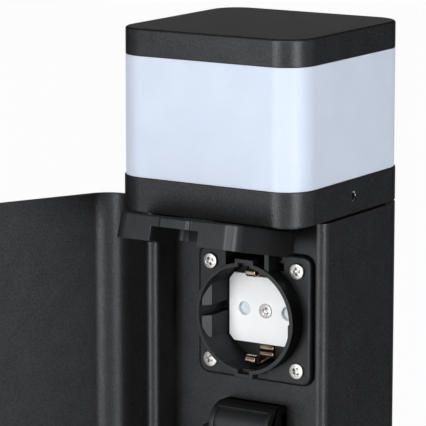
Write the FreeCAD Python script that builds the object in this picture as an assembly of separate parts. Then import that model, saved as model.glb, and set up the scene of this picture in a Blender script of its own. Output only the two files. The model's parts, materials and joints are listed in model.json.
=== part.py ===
import FreeCAD, Part
import math
import os
from FreeCAD import Vector

# Square bollard light with two earthed sockets behind a hinged front cover.
# Millimetres, +Z up. The origin is on the ground, on the column's axis. The front faces -Y.

# Whole body
body_width = 80.0
body_corner = 12.0
column_height = 376.4
shadow_gap = 0.9

# Base plate and what holds it
base_width = 110.0
base_corner = 12.0
base_thickness = 5.0
anchor_inset = 10.0
anchor_hole_radius = 3.5
cable_hole_radius = 9.0
cable_bore_radius = 6.5
grommet_lip = 2.0

# Column section: walls, the web that carries the sockets and the screw ports
side_wall = 3.6
back_wall = 3.0
web_front = 2.3
web_thickness = 2.8
lip_reach = 21.0
lip_radius = 3.2
port_radius = 4.2
port_overlap = 0.2
port_screw_radius = 1.9
port_fit = 0.05
port_screw_depth = 14.0
screw_head_radius = 3.5
screw_head_height = 2.4

# Hinge of the cover, along the left wall
hinge_radius = 3.3
hinge_ahead = 13.4
hinge_rod_radius = 1.5
hinge_fit = 0.05
knuckle_length = 12.0
knuckle_inset = 3.0
knuckle_gap = 0.3
cover_open_angle = 116.4

# Front cover
cover_wall = 2.0
cover_gap = 0.4
cover_top_gap = 0.3
cover_bottom_gap = 10.0
cover_return = 18.4
cover_return_corner = 3.0
return_notch_gap = 1.0
return_notch_above = 22.0
return_notch_below = 28.0

# Magnet catch of the cover
catch_height = 14.0
catch_width = 8.0
catch_depth = 10.0
catch_magnet_radius = 3.0
catch_magnet_length = 4.0
strike_thickness = 0.5
strike_gap = 0.3

# Lamp head
ring_height = 12.8
ring_wall = 3.0
ring_deck = 3.0
head_inset = 0.5
diffuser_height = 44.8
diffuser_wall = 2.5
cap_height = 10.1
cap_wall = 5.0
cap_roof = 4.0
cap_soft_edge = 0.6
seal_width = 1.5
seal_depth = 1.0
mount_floor = 2.1
mount_fit = 0.3
tongue_width = 18.0
tongue_wall = 4.0
grub_radius = 2.0
grub_socket_radius = 1.1
grub_socket_depth = 1.5
grub_recess = 0.3
tie_spacing = 56.0
tie_radius = 1.5
tie_fit = 0.05
tie_end_gap = 1.0
tie_head_radius = 2.8
tie_head_height = 2.2
boss_radius = 4.0
lamp_cable_radius = 6.0

# Light source
carrier_foot = 64.0
carrier_foot_thickness = 2.0
carrier_width = 30.0
carrier_wall = 2.0
carrier_top_gap = 3.0
board_width = 24.0
board_height = 34.0
board_thickness = 1.2
chip_size = 3.0
chip_height = 0.8
chip_rows = 4
chip_columns = 2
chip_pitch = 8.0

# Driver and terminals inside the column
driver_width = 38.0
driver_depth = 20.0
driver_height = 110.0
driver_gap = 28.65
driver_corner = 3.0
terminal_width = 48.0
terminal_depth = 18.0
terminal_height = 20.0
terminal_gap = 30.0
terminal_ways = 5
terminal_pitch = 8.6
terminal_screw_radius = 1.8
terminal_screw_rise = 0.8
earth_stud_radius = 2.0
earth_stud_height = 14.0
earth_nut_radius = 3.9
earth_nut_height = 3.2
earth_stud_x = -22.0
earth_stud_y = 20.0

# Sockets
socket_drop = 41.4
socket_pitch = 70.0
flange_margin = 3.65
flange_corner = 4.5
flange_thickness = 2.0
flange_seal = 0.5
flange_screw_inset = 6.0
flange_screw_radius = 1.5
flange_screw_head = 3.1
flange_screw_rise = 1.2
flange_screw_length = 8.0
cross_length = 3.6
cross_width = 0.7
cross_depth = 0.7
collar_radius = 21.35
collar_wall = 1.5
collar_reach = 7.6
key_width = 8.0
key_rise = 1.4
web_hole_gap = 0.65
well_depth = 16.1
rib_depth = 3.15
rib_front = 1.4
rib_chamfer = 3.0
rib_upper = (12.3, 2.7)
rib_lower = (-1.4, -9.7)
insert_thickness = 1.5
insert_rib_gap = 0.5
insert_top_rise = 0.4
insert_clip_gap = 0.3
insert_chamfer = 2.6
insert_gap = 0.35
insert_notch_half = 3.4
insert_notch_depth = 2.0
pin_spacing = 19.0
pin_hole_radius = 2.65
cover_screw_radius = 1.5
cover_screw_head = 2.75
cover_screw_rise = 0.6
shutter_thickness = 1.5
shutter_gap = 0.2
shutter_radius = 12.6
shutter_tip = 3.3
shutter_bar = 2.3
shutter_hub = 4.2
shutter_post = 2.6
shutter_fit = 0.05
carrier_disc = 4.7
carrier_gap = 0.15
clip_width = 6.0
clip_thickness = 0.8
clip_gap = 0.2
clip_hump_inset = 6.65
clip_hump_back = 0.9
clip_wall_gap = 0.75
clip_bend = 1.6
clip_bevel = 1.2
clip_shelf = 4.2
clip_dip = 1.8
clip_curl_inset = 5.85
clip_curl_out = (2.6, 0.6)
clip_curl_back = (4.4, 5.2, 7.0)
rear_depth = 20.0
rear_wall = 2.0
sleeve_radius = 3.0
sleeve_wall = 0.5
sleeve_length = 15.0

# Spring lids of the sockets
lid_axis_rise = 28.1
lid_axis_gap = 6.1
lid_open_angle = 103.0
lid_half_width = 25.6
lid_wall = 1.4
lid_face = 1.9
lid_face_gap = 0.4
lid_end_gap = 0.35
lid_top = 20.3
lid_skirt_gap = 0.3
lid_corner = 5.0
lid_soft_edge = 0.8
lid_notch_half = 10.0
lid_notch_depth = 5.5
lid_notch_corner = 1.6
tab_half = 6.6
tab_reach = 1.5
tab_corner = 1.2
hood_radius = 8.3
hood_wall = 1.4
hood_back = 5.8
hood_back_rise = 5.0
hood_roof_back = 3.6
hood_back_radius = 9.8
hood_half_width = 12.7
hood_arm = 1.9
hood_start = -38.0
hood_end = 90.0
hood_wedge_reach = 1.3
hood_border = 1.4
hood_panel_depth = 0.6
hood_panel_start = -22.0
hood_panel_end = 50.0
slot_half_width = 13.0
slot_bottom = 18.3
slot_over_heel = 0.3
ear_inner = 8.5
ear_thickness = 1.8
ear_radius = 3.0
lid_pin_radius = 1.0
lid_pin_fit = 0.05
lid_pin_inset = 0.3

# Places worked out from the sizes above
half = body_width / 2
inner_half = half - side_wall
web_back = web_thickness - web_front
cavity_back = half - back_wall
column_bottom = base_thickness
column_top = column_bottom + column_height
ring_bottom = column_top + shadow_gap
ring_top = ring_bottom + ring_height
diffuser_top = ring_top + diffuser_height
cap_top = diffuser_top + cap_height
head_width = body_width - 2 * head_inset
head_corner = body_corner - head_inset
hinge_x = side_wall - half - hinge_radius
hinge_y = -hinge_ahead
cavity_corner = body_corner - side_wall
port_tuck = (cavity_corner + port_overlap - port_radius) / math.sqrt(2)
port_back_x = inner_half - cavity_corner + port_tuck
port_back_y = cavity_back - cavity_corner + port_tuck
port_front_x = inner_half - port_radius + port_overlap
port_front_y = web_back + port_radius - port_overlap
port_places = [(side * x, y) for side in (-1, 1)
               for x, y in ((port_front_x, port_front_y), (port_back_x, port_back_y))]
cable_y = (web_back + cavity_back) / 2
cover_bottom = column_bottom + cover_bottom_gap
cover_top = column_top - cover_top_gap
upper_socket_z = column_top - socket_drop
lower_socket_z = upper_socket_z - socket_pitch
anchor_spacing = base_width - 2 * anchor_inset
driver_top = lower_socket_z - collar_radius - driver_gap
driver_bottom = driver_top - driver_height
terminal_top = driver_bottom - terminal_gap
terminal_bottom = terminal_top - terminal_height

flange_size = 2 * (collar_radius + flange_margin)
flange_back = -web_front - flange_seal
flange_front = flange_back - flange_thickness
collar_front = flange_front - collar_reach
well_floor = collar_front + well_depth
well_radius = collar_radius - collar_wall
clip_hump = (well_radius - clip_hump_inset, well_floor + clip_hump_back)
clip_outer = well_radius - clip_wall_gap
clip_curl = well_radius - clip_curl_inset
rib_inner = well_radius - rib_depth
insert_half_width = rib_inner - insert_rib_gap
insert_top = clip_hump[0] + insert_top_rise
insert_bottom = clip_hump[0] - insert_clip_gap
carrier_front = well_floor + insert_thickness
carrier_back = carrier_front + carrier_disc
lid_axis_y = -web_front - lid_axis_gap
lid_inner_y = collar_front - lid_face_gap
lid_outer_y = lid_inner_y - lid_face
lid_bottom = -(collar_radius + key_rise + lid_end_gap + lid_wall)
heel_rise = math.sqrt(hood_back_radius ** 2 - lid_axis_gap ** 2)
slot_top = lid_axis_rise + heel_rise + slot_over_heel
screw_place = flange_size / 2 - flange_screw_inset
pin_place = pin_spacing / 2


def box(x0, x1, y0, y1, z0, z1):
    """A block between two values on each axis, given in either order."""
    low = Vector(min(x0, x1), min(y0, y1), min(z0, z1))
    return Part.makeBox(abs(x1 - x0), abs(y1 - y0), abs(z1 - z0), low)


def upright(x, y, z0, z1, radius):
    """A vertical cylinder."""
    return Part.makeCylinder(radius, z1 - z0, Vector(x, y, z0))


def along_y(x, z, y0, y1, radius):
    """A cylinder that points from front to back."""
    return Part.makeCylinder(radius, y1 - y0, Vector(x, y0, z), Vector(0, 1, 0))


def along_x(y, z, x0, x1, radius):
    """A cylinder that points from left to right."""
    return Part.makeCylinder(radius, x1 - x0, Vector(x0, y, z), Vector(1, 0, 0))


def rounded(width, depth, corner, z0, z1):
    """A block around the axis with round vertical edges."""
    block = box(-width / 2, width / 2, -depth / 2, depth / 2, z0, z1)
    upright_edges = [e for e in block.Edges if abs(e.BoundBox.ZLength - (z1 - z0)) < 1e-6]
    return block.makeFillet(corner, upright_edges)


def round_plate(half_width, low, high, y0, y1, corner):
    """A plate across the Y axis with round corners."""
    plate = box(-half_width, half_width, y0, y1, low, high)
    cross_edges = [e for e in plate.Edges if abs(e.BoundBox.YLength - (y1 - y0)) < 1e-6]
    return plate.makeFillet(corner, cross_edges)


def prism(points, direction):
    """A closed outline of points, pushed along a direction."""
    wire = Part.makePolygon([Vector(*p) for p in points] + [Vector(*points[0])])
    return Part.Face(wire).extrude(Vector(*direction))


def turned(shape, x, y, z, axis, degrees):
    """A copy of a shape, turned about an axis through a point."""
    copy = shape.copy()
    copy.rotate(Vector(x, y, z), Vector(*axis), degrees)
    return copy


def join(shapes):
    """One solid out of shapes that touch or overlap."""
    whole = shapes[0]
    for shape in shapes[1:]:
        whole = whole.fuse(shape)
    return whole.removeSplitter()


def without(shape, cuts):
    """A shape with others cut away."""
    for cut in cuts:
        shape = shape.cut(cut)
    return shape


def mirrored_x(shape):
    """The same shape on the other side of the middle."""
    return shape.mirror(Vector(0, 0, 0), Vector(1, 0, 0))


def cross_recess(x, z, front, size):
    """The cross cut in a screw head that faces forwards."""
    upright_arm = box(x - cross_width / 2, x + cross_width / 2, front, front + cross_depth,
                      z - size / 2, z + size / 2)
    return upright_arm.fuse(turned(upright_arm, x, front, z, (0, 1, 0), 90))


def round_head_screw(x, z, seat, rise, head, shank, length):
    """A cross-head screw that points backwards, with a domed head in front of its seat."""
    ball_radius = (head ** 2 + rise ** 2) / (2 * rise)
    ball = Part.makeSphere(ball_radius, Vector(x, seat - rise + ball_radius, z))
    dome = ball.common(along_y(x, z, seat - rise, seat, head))
    dome = dome.cut(cross_recess(x, z, seat - rise, cross_length))
    return join([dome, along_y(x, z, seat, seat + length, shank)])


def base_plate():
    """Steel foot with anchor holes, a cable hole and countersunk screw holes."""
    plate = rounded(base_width, base_width, base_corner, 0, base_thickness)
    place = anchor_spacing / 2
    cuts = [upright(x, y, 0, base_thickness, anchor_hole_radius)
            for x in (-place, place) for y in (-place, place)]
    cuts.append(upright(0, cable_y, 0, base_thickness, cable_hole_radius))
    cuts.append(upright(earth_stud_x, earth_stud_y, 0, base_thickness, earth_stud_radius))
    for x, y in port_places:
        cuts.append(upright(x, y, 0, base_thickness, port_screw_radius))
        cuts.append(Part.makeCone(screw_head_radius, port_screw_radius, screw_head_height, Vector(x, y, 0)))
    return without(plate, cuts)


def base_screws():
    """Countersunk screws that hold the column on its foot."""
    screws = []
    for x, y in port_places:
        head = Part.makeCone(screw_head_radius, port_screw_radius, screw_head_height, Vector(x, y, 0))
        shank = upright(x, y, screw_head_height, base_thickness + port_screw_depth, port_screw_radius)
        socket = upright(x, y, 0, grub_socket_depth, grub_socket_radius)
        screws.append(join([head, shank]).cut(socket))
    return Part.makeCompound(screws)


def cable_grommet():
    """Rubber bush in the foot that the supply cable comes up through."""
    body = upright(0, cable_y, 0, base_thickness, cable_hole_radius)
    lip = upright(0, cable_y, base_thickness, base_thickness + grommet_lip, cable_hole_radius + grommet_lip)
    return join([body, lip]).cut(upright(0, cable_y, 0, base_thickness + grommet_lip, cable_bore_radius))


def column_profile():
    """Extruded column: three walls, the web, screw ports and the bead of the hinge."""
    z0, z1 = column_bottom, column_top
    shell = rounded(body_width, body_width, body_corner, z0, z1)
    hollow = rounded(2 * inner_half, 2 * cavity_back, cavity_corner, z0, z1)
    front = box(-half, half, -half, -lip_reach, z0, z1)
    column = without(shell, [hollow, front])
    left_front = box(-half, -inner_half, -half, hinge_y, z0, z1)
    column = column.cut(left_front)
    lip_block = box(half - lip_radius, half, -lip_reach, -lip_reach + lip_radius, z0, z1)
    lip_round = upright(half - lip_radius, -lip_reach + lip_radius, z0, z1, lip_radius)
    column = column.cut(lip_block.cut(lip_round))
    web = box(-inner_half, inner_half, -web_front, web_back, z0, z1)
    bead = upright(hinge_x, hinge_y, z0, z1, hinge_radius)
    ports = [upright(x, y, z0, z1, port_radius) for x, y in port_places]
    column = join([column, web, bead] + ports)
    cuts = [upright(x, y, z0, z1, port_screw_radius + port_fit) for x, y in port_places]
    cuts.append(upright(hinge_x, hinge_y, z0, z1, hinge_rod_radius + hinge_fit))
    for low, high in knuckle_spans():
        ring = upright(hinge_x, hinge_y, low - knuckle_gap, high + knuckle_gap,
                       hinge_radius + cover_gap)
        cuts.append(ring)
    for z in (upper_socket_z, lower_socket_z):
        cuts.append(along_y(0, z, -web_front, web_back, collar_radius + web_hole_gap))
        cuts.append(box(-slot_half_width, slot_half_width, -web_front, web_back,
                        z + slot_bottom, z + slot_top))
        for x in (-screw_place, screw_place):
            for dz in (-screw_place, screw_place):
                cuts.append(along_y(x, z + dz, -web_front, web_back, flange_screw_radius))
    return without(column, cuts)


def knuckle_spans():
    """Heights of the cover's hinge knuckles: top, middle and bottom."""
    top = column_top - knuckle_inset - knuckle_gap
    bottom = cover_bottom + knuckle_inset
    middle = (column_bottom + column_top) / 2
    return [(top - knuckle_length, top),
            (middle - knuckle_length / 2, middle + knuckle_length / 2),
            (bottom, bottom + knuckle_length)]


def hinge_rod():
    """Steel rod through the column's bead and the cover's knuckles."""
    return upright(hinge_x, hinge_y, column_bottom, column_top, hinge_rod_radius)


def opened(shape):
    """The cover's pieces, turned from closed to the open rest pose."""
    return turned(shape, hinge_x, hinge_y, 0, (0, 0, 1), -cover_open_angle)


def front_cover():
    """Bent cover: front, two sides, a return along the free side, and hinge knuckles."""
    z0, z1 = cover_bottom, cover_top
    side_end = -lip_reach - cover_gap
    shell = rounded(body_width, body_width, body_corner, z0, z1)
    hollow = rounded(body_width - 2 * cover_wall, body_width - 2 * cover_wall,
                     body_corner - cover_wall, z0, z1)
    keep_left = box(-half, 0, -half, hinge_y, z0, z1)
    keep_right = box(0, half, -half, side_end, z0, z1)
    cover = shell.cut(hollow).common(keep_left.fuse(keep_right))
    flange = box(half - cover_return, half - cover_wall / 2, side_end - cover_wall, side_end, z0, z1)
    notch = box(half - cover_return, lid_half_width + return_notch_gap, side_end - cover_wall, side_end,
                lower_socket_z - return_notch_below, lower_socket_z + return_notch_above)
    cover = join([cover, flange.cut(notch)])
    outer_edge = [e for e in cover.Edges if abs(e.BoundBox.ZLength - (z1 - z0)) < 1e-6
                  and abs(e.BoundBox.XMin - half) < 1e-6 and abs(e.BoundBox.YMin - side_end) < 1e-6]
    cover = cover.makeFillet(cover_return_corner, outer_edge)
    cover = cover.cut(upright(hinge_x, hinge_y, z0, z1, hinge_radius + cover_gap))
    knuckles = []
    for low, high in knuckle_spans():
        bridge = box(-half, -half + cover_wall, hinge_y - hinge_radius - 2 * cover_gap, hinge_y, low, high)
        knuckles.append(bridge)
        knuckles.append(upright(hinge_x, hinge_y, low, high, hinge_radius))
    cover = join([cover] + knuckles)
    bore = upright(hinge_x, hinge_y, z0, z1, hinge_rod_radius + hinge_fit)
    return opened(cover.cut(bore))


def catch_z():
    """Height of the magnet catch, at the middle of the cover."""
    return (cover_bottom + cover_top) / 2


def catch_holder():
    """Block on the right wall that holds the magnet."""
    front = -lip_reach - cover_gap + strike_thickness + strike_gap
    z = catch_z()
    block = box(inner_half - catch_width, inner_half, front, front + catch_depth,
                z - catch_height / 2, z + catch_height / 2)
    return block.cut(along_y(inner_half - catch_width / 2, z, front, front + catch_magnet_length,
                             catch_magnet_radius))


def catch_magnet():
    """Round magnet, flush in its holder."""
    front = -lip_reach - cover_gap + strike_thickness + strike_gap
    return along_y(inner_half - catch_width / 2, catch_z(), front, front + catch_magnet_length,
                   catch_magnet_radius)


def catch_strike():
    """Thin steel plate on the cover's return that the magnet pulls."""
    back = -lip_reach - cover_gap
    z = catch_z()
    plate = box(inner_half - catch_width, inner_half, back, back + strike_thickness,
                z - catch_height / 2, z + catch_height / 2)
    return opened(plate)


def head_mount():
    """Plate on the column that leaves the shadow gap and carries the lamp head."""
    top = ring_bottom + mount_floor
    width = body_width - 2 * ring_wall - 2 * mount_fit
    pieces = [rounded(width, width, body_corner - ring_wall - mount_fit, column_top, top)]
    tongue_x = width / 2
    tongue_back = port_front_y - screw_head_radius - mount_fit
    for side in (-1, 1):
        pieces.append(box(side * tongue_x, side * (tongue_x - tongue_wall), tongue_back - tongue_width,
                          tongue_back, top, ring_top - ring_deck - mount_fit))
    cuts = [upright(0, cable_y, column_top, top, lamp_cable_radius)]
    for x, y in port_places:
        cuts.append(upright(x, y, column_top, top, port_screw_radius + port_fit))
    return without(join(pieces), cuts)


def head_mount_screws():
    """Screws from the mount into the column's ports."""
    seat = ring_bottom + mount_floor
    screws = []
    for x, y in port_places:
        head = upright(x, y, seat, seat + screw_head_height, screw_head_radius)
        shank = upright(x, y, column_top - port_screw_depth, seat, port_screw_radius)
        socket = upright(x, y, seat + screw_head_height - grub_socket_depth, seat + screw_head_height,
                         grub_socket_radius)
        screws.append(join([head, shank]).cut(socket))
    return Part.makeCompound(screws)


def tie_places():
    """Corners where the tie screws hold ring, diffuser and cap together."""
    place = tie_spacing / 2
    return [(x, y) for x in (-place, place) for y in (-place, place)]


def seal_frame(z0, z1):
    """Square frame in the middle of the diffuser's wall."""
    out = head_width - (diffuser_wall - seal_width)
    corner = head_corner - (diffuser_wall - seal_width) / 2
    outer = rounded(out, out, corner, z0, z1)
    return outer.cut(rounded(out - 2 * seal_width, out - 2 * seal_width, corner - seal_width, z0, z1))


def lamp_base_ring():
    """Cast collar that slips over the mount and carries the diffuser."""
    outer = rounded(body_width, body_width, body_corner, ring_bottom, ring_top)
    inside = body_width - 2 * ring_wall
    room = rounded(inside, inside, body_corner - ring_wall, ring_bottom, ring_top - ring_deck)
    cuts = [room, seal_frame(ring_top - seal_depth, ring_top)]
    cuts.append(upright(0, 0, ring_top - ring_deck, ring_top, carrier_width / 2 - carrier_wall))
    for x, y in tie_places():
        cuts.append(upright(x, y, ring_top - ring_deck, ring_top, tie_radius + tie_fit))
    cuts.append(along_x(0, grub_z(), -half, -half + ring_wall, grub_radius))
    cuts.append(along_x(0, grub_z(), half - ring_wall, half, grub_radius))
    return without(outer, cuts)


def grub_z():
    """Height of the two grub screws, halfway up the collar."""
    return (ring_bottom + ring_top) / 2


def ring_grub_screws():
    """Socket set screws through the collar's left and right sides, tight on the mount."""
    tip = half - ring_wall - mount_fit
    screw = along_x(0, grub_z(), tip, half - grub_recess, grub_radius)
    socket = along_x(0, grub_z(), half - grub_recess - grub_socket_depth, half - grub_recess,
                     grub_socket_radius)
    screw = screw.cut(socket)
    return Part.makeCompound([screw, mirrored_x(screw)])


def diffuser():
    """Opal square tube, open at both ends."""
    outer = rounded(head_width, head_width, head_corner, ring_top, diffuser_top)
    inside = head_width - 2 * diffuser_wall
    return outer.cut(rounded(inside, inside, head_corner - diffuser_wall, ring_top, diffuser_top))


def lamp_cap():
    """Flat lid of the lamp, hollow below, with a boss for each tie screw."""
    outer = rounded(head_width, head_width, head_corner, diffuser_top, cap_top)
    rim = [e for e in outer.Edges if abs(e.BoundBox.ZMin - cap_top) < 1e-6
           and abs(e.BoundBox.ZMax - cap_top) < 1e-6]
    outer = outer.makeFillet(cap_soft_edge, rim)
    inside = head_width - 2 * cap_wall
    room = rounded(inside, inside, head_corner - cap_wall, diffuser_top, cap_top - cap_roof)
    cap = without(outer, [room, seal_frame(diffuser_top, diffuser_top + seal_depth)])
    bosses = [upright(x, y, diffuser_top, cap_top - cap_roof, boss_radius) for x, y in tie_places()]
    holes = [upright(x, y, diffuser_top, cap_top - cap_roof, tie_radius + tie_fit)
             for x, y in tie_places()]
    return without(join([cap] + bosses), holes)


def head_tie_screws():
    """Long screws that clamp the diffuser between collar and cap."""
    screws = []
    seat = ring_top - ring_deck
    for x, y in tie_places():
        head = upright(x, y, seat - tie_head_height, seat, tie_head_radius)
        shank = upright(x, y, seat, cap_top - cap_roof - tie_end_gap, tie_radius)
        socket = upright(x, y, seat - tie_head_height, seat - tie_head_height + grub_socket_depth,
                         grub_socket_radius)
        screws.append(join([head, shank]).cut(socket))
    return Part.makeCompound(screws)


def led_carrier():
    """Aluminium post on a foot that holds and cools the boards."""
    foot_top = ring_top + carrier_foot_thickness
    foot = box(-carrier_foot / 2, carrier_foot / 2, -carrier_foot / 2, carrier_foot / 2,
               ring_top, foot_top)
    out = carrier_width / 2
    hole = out - carrier_wall
    post = box(-out, out, -out, out, foot_top, diffuser_top - carrier_top_gap)
    cuts = [box(-hole, hole, -hole, hole, foot_top, diffuser_top - carrier_top_gap),
            upright(0, 0, ring_top, foot_top, hole)]
    cuts += [upright(x, y, ring_top, foot_top, tie_radius + tie_fit) for x, y in tie_places()]
    return without(join([foot, post]), cuts)


def board_middle():
    """Height of the middle of the light boards."""
    return (ring_top + carrier_foot_thickness + diffuser_top - carrier_top_gap) / 2


def around_post(shape):
    """Four copies of a shape, one on each side of the post."""
    return [turned(shape, 0, 0, 0, (0, 0, 1), 90 * side) for side in range(4)]


def led_boards():
    """Printed boards on the four sides of the post."""
    out = carrier_width / 2
    z = board_middle()
    board = box(-board_width / 2, board_width / 2, -out - board_thickness, -out,
                z - board_height / 2, z + board_height / 2)
    return Part.makeCompound(around_post(board))


def led_chips():
    """Light-emitting chips in rows on the boards."""
    front = -carrier_width / 2 - board_thickness
    chips = []
    for column in range(chip_columns):
        for row in range(chip_rows):
            x = (column - (chip_columns - 1) / 2) * chip_pitch
            z = board_middle() + (row - (chip_rows - 1) / 2) * chip_pitch
            chip = box(x - chip_size / 2, x + chip_size / 2, front - chip_height, front,
                       z - chip_size / 2, z + chip_size / 2)
            chips += around_post(chip)
    return Part.makeCompound(chips)


def led_driver():
    """Closed supply unit on the back wall."""
    unit = box(-driver_width / 2, driver_width / 2, cavity_back - driver_depth, cavity_back,
               driver_bottom, driver_top)
    front_edges = [e for e in unit.Edges if abs(e.BoundBox.ZLength - driver_height) < 1e-6
                   and e.BoundBox.YMax < cavity_back - driver_depth / 2]
    return unit.makeFillet(driver_corner, front_edges)


def terminal_place(way):
    """Sideways place of one way of the terminal block."""
    return (way - (terminal_ways - 1) / 2) * terminal_pitch


def terminal_block():
    """Insulated block where the supply cable is joined."""
    front = cavity_back - terminal_depth
    middle = terminal_bottom + terminal_height / 2
    block = box(-terminal_width / 2, terminal_width / 2, front, cavity_back,
                terminal_bottom, terminal_top)
    wells = [along_y(terminal_place(way), middle, front, front + terminal_depth / 2,
                     terminal_screw_radius) for way in range(terminal_ways)]
    return without(block, wells)


def terminal_screws():
    """Clamp screws of the terminal block."""
    front = cavity_back - terminal_depth
    middle = terminal_bottom + terminal_height / 2
    screws = []
    for way in range(terminal_ways):
        x = terminal_place(way)
        screw = along_y(x, middle, front + terminal_screw_rise, front + terminal_depth / 2,
                        terminal_screw_radius)
        screws.append(screw.cut(cross_recess(x, middle, front + terminal_screw_rise,
                                             terminal_screw_radius)))
    return Part.makeCompound(screws)


def earth_stud():
    """Stud and nut in the foot for the protective earth."""
    stud = upright(earth_stud_x, earth_stud_y, 0, base_thickness + earth_stud_height, earth_stud_radius)
    corners = [(earth_stud_x + earth_nut_radius * math.cos(math.radians(60 * k)),
                earth_stud_y + earth_nut_radius * math.sin(math.radians(60 * k)), base_thickness)
               for k in range(6)]
    return join([stud, prism(corners, (0, 0, earth_nut_height))])


def key_block(half_width, rise, y0, y1):
    """Block that makes the collar's key ways at top and bottom."""
    reach = collar_radius + rise
    return box(-half_width, half_width, y0, y1, -reach, reach)


def socket_bezel():
    """Black face of a socket: flange, keyed collar, well with guide ribs, and hinge ears."""
    size = flange_size / 2
    flange = round_plate(size, -size, size, flange_front, flange_back, flange_corner)
    pocket = box(-slot_half_width, slot_half_width, flange_front, flange_back, slot_bottom, size)
    flange = flange.cut(pocket.cut(along_y(0, 0, flange_front, flange_back, collar_radius)))
    tube = along_y(0, 0, collar_front, carrier_back, collar_radius)
    keys = key_block(key_width / 2, key_rise, collar_front, flange_back)
    body = join([flange, tube, keys])
    well = along_y(0, 0, collar_front, carrier_back, well_radius)
    key_ways = key_block(key_width / 2 - collar_wall, key_rise - collar_wall, collar_front, flange_front)
    body = without(body, [well, key_ways])
    ribs = []
    for top, bottom in (rib_upper, rib_lower):
        outline = [(-collar_radius, collar_front + rib_front, bottom),
                   (-well_radius + collar_wall, collar_front + rib_front, bottom),
                   (-rib_inner, collar_front + rib_front + rib_chamfer, bottom),
                   (-rib_inner, carrier_front, bottom),
                   (-collar_radius, carrier_front, bottom)]
        rib = prism(outline, (0, 0, top - bottom)).common(
            along_y(0, 0, collar_front, carrier_back, collar_radius))
        ribs += [rib, mirrored_x(rib)]
    body = join([body] + ribs + [hinge_ear(1), hinge_ear(-1)])
    cuts = [along_x(lid_axis_y, lid_axis_rise, -slot_half_width, slot_half_width,
                    lid_pin_radius + lid_pin_fit)]
    for x in (-screw_place, screw_place):
        for z in (-screw_place, screw_place):
            cuts.append(along_y(x, z, flange_front, flange_back, flange_screw_radius))
    return without(body, cuts)


def hinge_ear(side):
    """Ear beside the collar that carries the lid's pin."""
    x0 = ear_inner
    low = slot_bottom - 2 * ear_radius
    web_side = [(x0, flange_back, low), (x0, flange_back, slot_bottom + ear_radius),
                (x0, lid_axis_y + ear_radius, lid_axis_rise),
                (x0, lid_axis_y - ear_radius, lid_axis_rise),
                (x0, lid_axis_y - ear_radius, low)]
    plate = prism(web_side, (ear_thickness, 0, 0))
    ear = plate.fuse(along_x(lid_axis_y, lid_axis_rise, x0, x0 + ear_thickness, ear_radius))
    ear = ear.cut(along_y(0, 0, collar_front, flange_back, (collar_radius + well_radius) / 2))
    return ear if side > 0 else mirrored_x(ear)


def flange_gasket():
    """Rubber sheet between the flange and the web."""
    size = flange_size / 2
    sheet = round_plate(size, -size, size, flange_back, -web_front, flange_corner)
    cuts = [along_y(0, 0, flange_back, -web_front, collar_radius + web_hole_gap),
            box(-slot_half_width, slot_half_width, flange_back, -web_front, slot_bottom, size)]
    for x in (-screw_place, screw_place):
        for z in (-screw_place, screw_place):
            cuts.append(along_y(x, z, flange_back, -web_front, flange_screw_radius))
    return without(sheet, cuts)


def flange_screws():
    """Four cross-head screws that hold a socket on the web."""
    return Part.makeCompound([
        round_head_screw(x, z, flange_front, flange_screw_rise, flange_screw_head,
                         flange_screw_radius, flange_screw_length)
        for x in (-screw_place, screw_place) for z in (-screw_place, screw_place)])


def insert_plate():
    """White cover plate at the bottom of the well, with two pin holes."""
    half_width, top, bottom, chamfer = insert_half_width, insert_top, -insert_bottom, insert_chamfer
    outline = [(-half_width, well_floor, bottom + chamfer), (-half_width + chamfer, well_floor, bottom),
               (half_width - chamfer, well_floor, bottom), (half_width, well_floor, bottom + chamfer),
               (half_width, well_floor, top - chamfer), (half_width - chamfer, well_floor, top),
               (-half_width + chamfer, well_floor, top), (-half_width, well_floor, top - chamfer)]
    plate = prism(outline, (0, insert_thickness, 0))
    plate = plate.common(along_y(0, 0, well_floor, carrier_front, well_radius - insert_gap))
    cuts = [box(-insert_notch_half, insert_notch_half, well_floor, carrier_front,
                top - insert_notch_depth, top)]
    for x in (-pin_place, pin_place):
        cuts.append(along_y(x, 0, well_floor, carrier_front, pin_hole_radius))
    cuts.append(along_y(0, 0, well_floor, carrier_front, cover_screw_radius))
    return without(plate, cuts)


def shutter():
    """Two-winged plate that turns on its post and bares the contacts."""
    front = carrier_front + shutter_gap
    back = front + shutter_thickness
    wings = [along_y(x, 0, front, back, shutter_tip) for x in (-pin_place, pin_place)]
    bar = box(-pin_place, pin_place, front, back, -shutter_bar, shutter_bar)
    hub = along_y(0, 0, front, back, shutter_hub)
    return join(wings + [bar, hub]).cut(along_y(0, 0, front, back, shutter_post + shutter_fit))


def contact_carrier():
    """Black disc behind the white plate, with the shutter's pocket and its post."""
    disc = along_y(0, 0, carrier_front, carrier_back, well_radius - carrier_gap)
    pocket_depth = shutter_thickness + 2 * shutter_gap
    pocket = along_y(0, 0, carrier_front, carrier_front + pocket_depth, shutter_radius + 2 * shutter_gap)
    pocket = pocket.cut(along_y(0, 0, carrier_front, carrier_front + pocket_depth, shutter_post))
    cuts = [pocket, along_y(0, 0, carrier_front, carrier_back, cover_screw_radius)]
    for x in (-pin_place, pin_place):
        cuts.append(along_y(x, 0, carrier_front, carrier_back, pin_hole_radius))
    slot = clip_width / 2 + clip_gap
    for side in (-1, 1):
        cuts.append(box(-slot, slot, carrier_front, carrier_back,
                        side * (clip_hump[0] - clip_gap), side * well_radius))
    return without(disc, cuts)


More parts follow.
